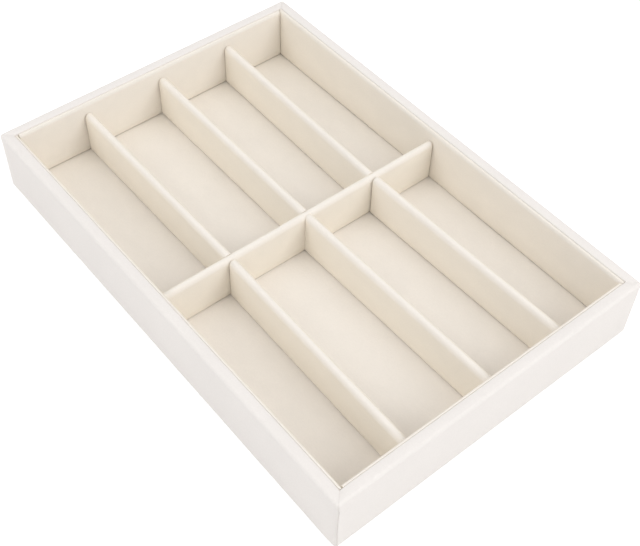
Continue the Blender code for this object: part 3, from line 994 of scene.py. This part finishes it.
class TRAY_OT_boards(bpy.types.Operator):
    """Gives the boards inside the tray and the sheet under it their materials"""

    bl_idname = "tray.boards"
    bl_label = "Boards and Backing"

    def execute(self, context):
        for name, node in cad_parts.items():
            if node.hide_render:
                continue
            if name == "underside_cover":
                make = backing
            elif name == "base_board" or name.endswith("_wall_board"):
                make = fibreboard
            else:
                make = greyboard
            for slot in node.material_slots:
                slot.material = tray_material(make, context)
        return {"FINISHED"}


# Stage


def seen_directly(tree):
    """One for what the camera sees, straight or in gloss or glass, and nothing for what lights the tray."""
    rays = add_node(tree, "ShaderNodeLightPath").outputs
    inputs = {0: rays["Is Camera Ray"], 1: rays["Is Glossy Ray"]}
    seen = add_node(tree, "ShaderNodeMath", inputs, operation="ADD").outputs[0]
    inputs = {0: seen, 1: rays["Is Transmission Ray"]}
    return add_node(tree, "ShaderNodeMath", inputs, operation="ADD", use_clamp=True).outputs[0]


def stage_material():
    """A white studio floor. The camera sees it lit to white, but for the tray's soft shadow."""
    material = bpy.data.materials.new("white_studio_floor")
    material.use_nodes = True
    tree = material.node_tree
    surface = tree.nodes["Principled BSDF"]
    surface.inputs["Base Color"].default_value = (0.92, 0.92, 0.92, 1)
    surface.inputs["Roughness"].default_value = 0.9
    surface.inputs["Specular IOR Level"].default_value = 0.2
    seen = seen_directly(tree)
    # Where the camera looks, the floor glows and is lit only in part. That leaves a light shadow of the tray.
    shadow = add_node(tree, "ShaderNodeBsdfDiffuse", {"Color": (0.35, 0.35, 0.35, 1)})
    glow = add_node(tree, "ShaderNodeEmission", {"Color": (1, 1, 1, 1), "Strength": 0.8})
    white = add_node(tree, "ShaderNodeAddShader", {0: shadow.outputs[0], 1: glow.outputs[0]})
    mix = add_node(tree, "ShaderNodeMixShader", {0: seen, 1: surface.outputs[0], 2: white.outputs[0]})
    tree.links.new(mix.outputs[0], tree.nodes["Material Output"].inputs["Surface"])
    return material


def light_the_room(scene, strength):
    """Even light from all sides, in front of a white background."""
    world = bpy.data.worlds.new("studio")
    world.use_nodes = True
    scene.world = world
    tree = world.node_tree
    room = tree.nodes["Background"]
    room.inputs["Color"].default_value = (1, 1, 1, 1)
    room.inputs["Strength"].default_value = strength
    white = add_node(tree, "ShaderNodeBackground", {"Color": (1, 1, 1, 1), "Strength": 1})
    inputs = {0: seen_directly(tree), 1: room.outputs[0], 2: white.outputs[0]}
    mix = add_node(tree, "ShaderNodeMixShader", inputs)
    tree.links.new(mix.outputs[0], tree.nodes["World Output"].inputs["Surface"])


def way_to(azimuth, elevation):
    """The way from the tray to what stands at an azimuth, from its front to its right side, and elevation."""
    level = math.cos(elevation)
    return Vector((level * math.sin(azimuth), -level * math.cos(azimuth), math.sin(elevation)))


def add_lamp(name, angles, watts):
    """A square soft lamp that shines on the tray from an azimuth and an elevation in degrees."""
    place = LAMP_DISTANCE * way_to(*map(math.radians, angles))
    bpy.ops.object.light_add(type="AREA", location=place, rotation=place.to_track_quat("Z", "Y").to_euler())
    lamp = bpy.context.object
    lamp.name = lamp.data.name = name
    lamp.data.shape = "SQUARE"
    lamp.data.size = LAMP_SIZE
    lamp.data.energy = watts


def camera_turn(stage):
    """The camera's axes as a rotation, from the way that it looks and its roll."""
    back = way_to(stage.azimuth, stage.elevation)
    right = Vector((0, 0, 1)).cross(back).normalized()
    up = back.cross(right)
    axes = Matrix((right, up, back)).transposed()
    return axes @ Matrix.Rotation(stage.roll, 3, "Z")


class TRAY_OT_stage(bpy.types.Operator):
    """Sets the white floor, the soft light and the camera"""

    bl_idname = "tray.stage"
    bl_label = "Stage"

    def execute(self, context):
        stage = context.scene.tray_stage
        bpy.ops.object.select_all(action="DESELECT")
        bpy.ops.mesh.primitive_plane_add(size=STAGE_SIZE, location=(0, 0, -STAGE_DROP))
        floor = context.object
        floor.name = floor.data.name = "studio_floor"
        floor.data.materials.append(stage_material())

        light_the_room(context.scene, stage.room_light)
        add_lamp("right_lamp", RIGHT_LAMP_PLACE, stage.right_lamp)
        add_lamp("front_lamp", FRONT_LAMP_PLACE, stage.front_lamp)
        add_lamp("top_lamp", TOP_LAMP_PLACE, stage.top_lamp)

        bpy.ops.object.camera_add(location=stage.camera_place, rotation=camera_turn(stage).to_euler())
        camera = context.object
        camera.name = camera.data.name = "photo_camera"
        camera.data.sensor_width = SENSOR_WIDTH
        camera.data.lens = stage.lens
        camera.data.clip_start = 0.01
        context.scene.camera = camera
        context.scene.view_settings.view_transform = "Standard"
        return {"FINISHED"}


OPERATORS = (
    TRAY_OT_leatherette_cover,
    TRAY_OT_floor_velvet,
    TRAY_OT_wall_liners,
    TRAY_OT_centre_divider,
    TRAY_OT_short_dividers,
    TRAY_OT_boards,
    TRAY_OT_stage,
)


class TRAY_PT_sidebar(bpy.types.Panel):
    """Lists the tray's pieces and settings in the sidebar"""

    bl_label = "Display Tray"
    bl_idname = "TRAY_PT_sidebar"
    bl_space_type = "VIEW_3D"
    bl_region_type = "UI"
    bl_category = "Display Tray"

    def draw(self, context):
        for operator in OPERATORS:
            self.layout.operator(operator.bl_idname)
        for settings in (context.scene.tray_sizes, context.scene.tray_colours, context.scene.tray_stage):
            box = self.layout.box()
            for name in settings.__annotations__:
                box.prop(settings, name)


CLASSES = (TraySizes, TrayColours, TrayStage) + OPERATORS + (TRAY_PT_sidebar,)


def register():
    for each in CLASSES:
        bpy.utils.register_class(each)
    bpy.types.Scene.tray_sizes = bpy.props.PointerProperty(type=TraySizes)
    bpy.types.Scene.tray_colours = bpy.props.PointerProperty(type=TrayColours)
    bpy.types.Scene.tray_stage = bpy.props.PointerProperty(type=TrayStage)


def unregister():
    del bpy.types.Scene.tray_stage
    del bpy.types.Scene.tray_colours
    del bpy.types.Scene.tray_sizes
    for each in reversed(CLASSES):
        bpy.utils.unregister_class(each)


def main():
    register()
    bpy.ops.tray.leatherette_cover()
    bpy.ops.tray.floor_velvet()
    bpy.ops.tray.wall_liners()
    bpy.ops.tray.centre_divider()
    bpy.ops.tray.short_dividers()
    bpy.ops.tray.boards()
    bpy.ops.tray.stage()


if __name__ == "__main__":
    main()
